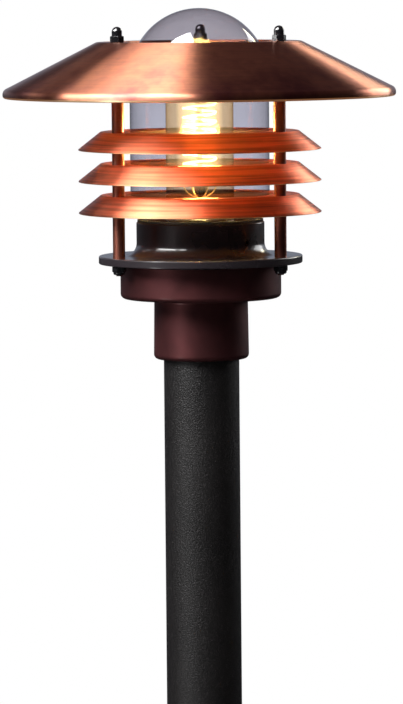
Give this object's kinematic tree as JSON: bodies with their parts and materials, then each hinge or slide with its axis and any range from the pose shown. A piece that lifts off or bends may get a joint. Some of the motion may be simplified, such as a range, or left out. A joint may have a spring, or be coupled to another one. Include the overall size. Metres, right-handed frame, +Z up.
{
  "type": "garden lantern",
  "caption": "Post-top garden lantern with a conical copper shade, louvre rings and a domed glass round a tubular bulb, on a black pole with a ground plate.",
  "frame": {"origin": "centre of the base plate's underside, on the ground", "axes": "+Z up the pole; the view in which two tie rods stand in front and one behind looks along +Y"},
  "size_m": [0.22, 0.22, 0.92],
  "materials": {
    "shade_copper": "brushed copper, lightly darkened, satin",
    "louvre_copper": "brushed copper, satin",
    "rod_copper": "darkened copper, satin",
    "housing_lacquer": "dark brown lacquer, semi-gloss",
    "pole_powder_coat": "black powder coat, fine texture",
    "black_steel": "black, glossy",
    "zinc_steel": "zinc plated",
    "bare_brass": "satin",
    "black_rubber": "matt",
    "dark_ceramic": "dark brown glaze",
    "terminal_plastic": "matt",
    "brown_insulation": "satin",
    "blue_insulation": "satin",
    "clear_glass": "clear, polished",
    "amber_glass": "amber tinted, polished",
    "cap_metal": "bright",
    "black_vitrite": "glossy black insulator",
    "support_wire": "drawn wire",
    "filament": "glowing"
  },
  "bodies": {
    "pole": {"base_plate": "pole_powder_coat", "cable_grommet": "black_rubber", "pole": "pole_powder_coat"},
    "head": {"lower_housing": "housing_lacquer", "earth_screw": "bare_brass", "terminal_block": "terminal_plastic", "terminal_screws": "bare_brass", "lead_live": "brown_insulation", "lead_neutral": "blue_insulation", "housing_gasket": "black_rubber", "upper_housing": "housing_lacquer", "housing_screws": "zinc_steel", "glass_gasket": "black_rubber", "lampholder_bracket": "zinc_steel", "lampholder": "dark_ceramic", "lampholder_shell": "bare_brass", "lampholder_contact": "bare_brass", "tie_rod_left": "rod_copper", "tie_rod_right": "rod_copper", "tie_rod_rear": "rod_copper", "flange_nuts": "black_steel", "spacers_flange": "rod_copper", "louvre_bottom": "louvre_copper", "spacers_lower": "rod_copper", "louvre_middle": "louvre_copper", "spacers_upper": "rod_copper", "louvre_top": "louvre_copper", "spacers_shade": "rod_copper"},
    "clamp_screw_left": {"clamp_screw_left": "black_steel"},
    "clamp_screw_right": {"clamp_screw_right": "black_steel"},
    "glass_lock_screw": {"glass_lock_screw": "black_steel"},
    "bulb": {"bulb_glass": "amber_glass", "bulb_cap": "cap_metal", "bulb_insulator": "black_vitrite", "bulb_contact": "cap_metal", "bulb_stem": "clear_glass", "bulb_supports": "support_wire", "bulb_filament": "filament"},
    "glass": {"glass_neck": "clear_glass", "glass_tube": "clear_glass", "glass_dome": "clear_glass"},
    "shade": {"shade": "shade_copper"},
    "cap_nut_left": {"cap_nut_left": "black_steel"},
    "cap_nut_right": {"cap_nut_right": "black_steel"},
    "cap_nut_rear": {"cap_nut_rear": "black_steel"}
  },
  "joints": [
    {"name": "head_lift", "type": "slide", "parent": "pole", "child": "head", "axis": [0, 0, 1], "range_m": [0, 0.06]},
    {"name": "clamp_screw_left_turn", "type": "hinge", "parent": "head", "child": "clamp_screw_left", "pos_m": [0, 0, 0.73899], "axis": [-0.6428, 0.766, 0], "continuous": true},
    {"name": "clamp_screw_right_turn", "type": "hinge", "parent": "head", "child": "clamp_screw_right", "pos_m": [0, 0, 0.73899], "axis": [0.6428, 0.766, 0], "continuous": true},
    {"name": "glass_lock_screw_turn", "type": "hinge", "parent": "head", "child": "glass_lock_screw", "pos_m": [0, 0, 0.79], "axis": [0.7314, -0.682, 0], "continuous": true},
    {"name": "bulb_turn", "type": "hinge", "parent": "head", "child": "bulb", "pos_m": [0, 0, 0.8], "axis": [0, 0, 1], "continuous": true},
    {"name": "glass_lift", "type": "slide", "parent": "head", "child": "glass", "axis": [0, 0, 1], "range_m": [0, 0.118]},
    {"name": "shade_lift", "type": "slide", "parent": "head", "child": "shade", "axis": [0, 0, 1], "range_m": [0, 0.06]},
    {"name": "cap_nut_left_turn", "type": "hinge", "parent": "shade", "child": "cap_nut_left", "pos_m": [-0.04486, -0.0259, 0.9014], "axis": [0, 0, 1], "continuous": true},
    {"name": "cap_nut_right_turn", "type": "hinge", "parent": "shade", "child": "cap_nut_right", "pos_m": [0.04486, -0.0259, 0.9014], "axis": [0, 0, 1], "continuous": true},
    {"name": "cap_nut_rear_turn", "type": "hinge", "parent": "shade", "child": "cap_nut_rear", "pos_m": [0, 0.0518, 0.9014], "axis": [0, 0, 1], "continuous": true}
  ]
}
